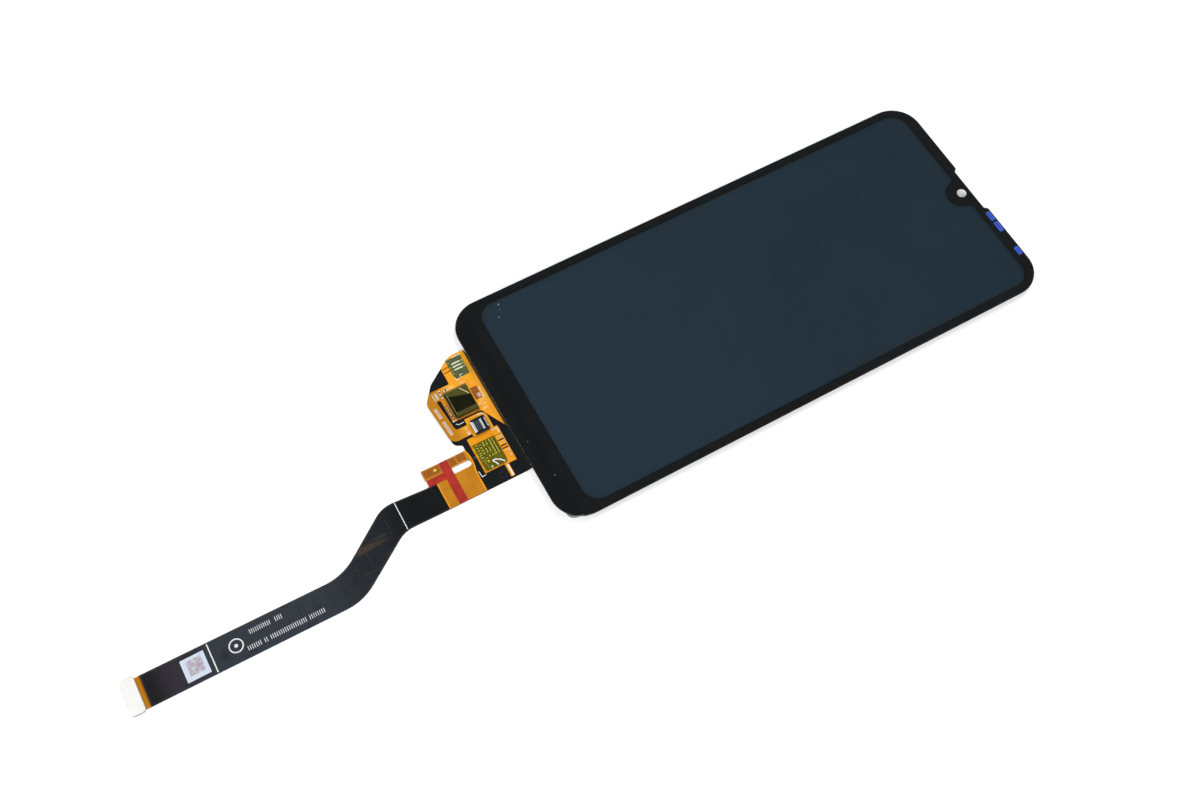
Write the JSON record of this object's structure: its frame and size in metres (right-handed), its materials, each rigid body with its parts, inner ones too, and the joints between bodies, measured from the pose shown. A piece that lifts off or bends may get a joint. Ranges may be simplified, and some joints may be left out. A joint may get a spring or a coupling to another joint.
{
  "type": "phone lcd screen assembly",
  "caption": "Flat phone screen: clear cover glass with a black border and camera opening over a backlit cell, with a touch circuit and a long flexible tail.",
  "frame": {"origin": "centre of the glass outline, on the plane that the metal tray and the tail rest on", "axes": "+X across the screen, +Y along it towards the camera opening, +Z out of the glass front"},
  "size_m": [0.0732, 0.2749, 0.0019],
  "materials": {
    "clear_glass": "polished, curved front edge",
    "border_ink": "black screen-printed ink seen through the glass",
    "sensor_ink": "blue translucent ink",
    "clear_adhesive": "optically clear adhesive",
    "touch_film": "clear film with a transparent conductor",
    "polariser_film": "dark blue-grey laminated film",
    "cell_glass": "thin display glass",
    "silicon": "bare polished silicon",
    "tray_steel": "pressed stainless sheet",
    "white_frame": "moulded white polycarbonate",
    "black_tape": "black light-blocking tape",
    "optical_film": "clear patterned polyester film",
    "guide_plastic": "clear moulded acrylic",
    "reflector": "silver-white reflecting film",
    "amber_polyimide": "orange film over copper tracks",
    "black_polyimide": "satin black film",
    "olive_film": "translucent yellow film over dark parts",
    "green_film": "translucent green film",
    "chip_resin": "black moulding compound",
    "connector_resin": "black moulded connector plastic",
    "tinned_copper": "tinned copper",
    "gold_plate": "gold-plated copper alloy",
    "ceramic_part": "fired ceramic with tinned ends",
    "led_plastic": "white housing with a yellow phosphor face",
    "red_film": "red adhesive film",
    "label_paper": "pale coated label",
    "cap_plastic": "white moulded plastic, rounded edges"
  },
  "bodies": {
    "root": {"cover_glass": "clear_glass", "border_print": "border_ink", "sensor_windows": "sensor_ink", "upper_adhesive": "clear_adhesive", "lower_adhesive": "clear_adhesive", "touch_sensor": "touch_film", "front_polariser": "polariser_film", "rear_polariser": "polariser_film", "colour_filter_glass": "cell_glass", "tft_glass": "cell_glass", "driver_chip": "silicon", "back_plate": "tray_steel", "backlight_frame": "white_frame", "shading_tape": "black_tape", "upper_prism_film": "optical_film", "lower_prism_film": "optical_film", "diffuser_film": "optical_film", "light_guide": "guide_plastic", "reflector_film": "reflector", "backlight_flex": "amber_polyimide", "backlight_leds": "led_plastic", "display_flex": "amber_polyimide", "upper_cover_film": "black_polyimide", "tail_cover_film": "black_polyimide", "touch_flex": "amber_polyimide", "touch_chip": "chip_resin", "chip_cover_film": "olive_film", "lobe_pads": "tinned_copper", "lobe_cover_film": "green_film", "display_passives": "ceramic_part", "passives_cover_film": "olive_film", "touch_passives": "ceramic_part", "ground_strip": "tinned_copper", "flex_connector": "connector_resin", "connector_contacts": "gold_plate", "joint_flex": "amber_polyimide", "red_tape": "red_film", "tab_pad": "gold_plate", "tail_label": "label_paper", "plug_cap": "cap_plastic", "tail_plug": "connector_resin", "plug_contacts": "gold_plate"}
  },
  "joints": []
}
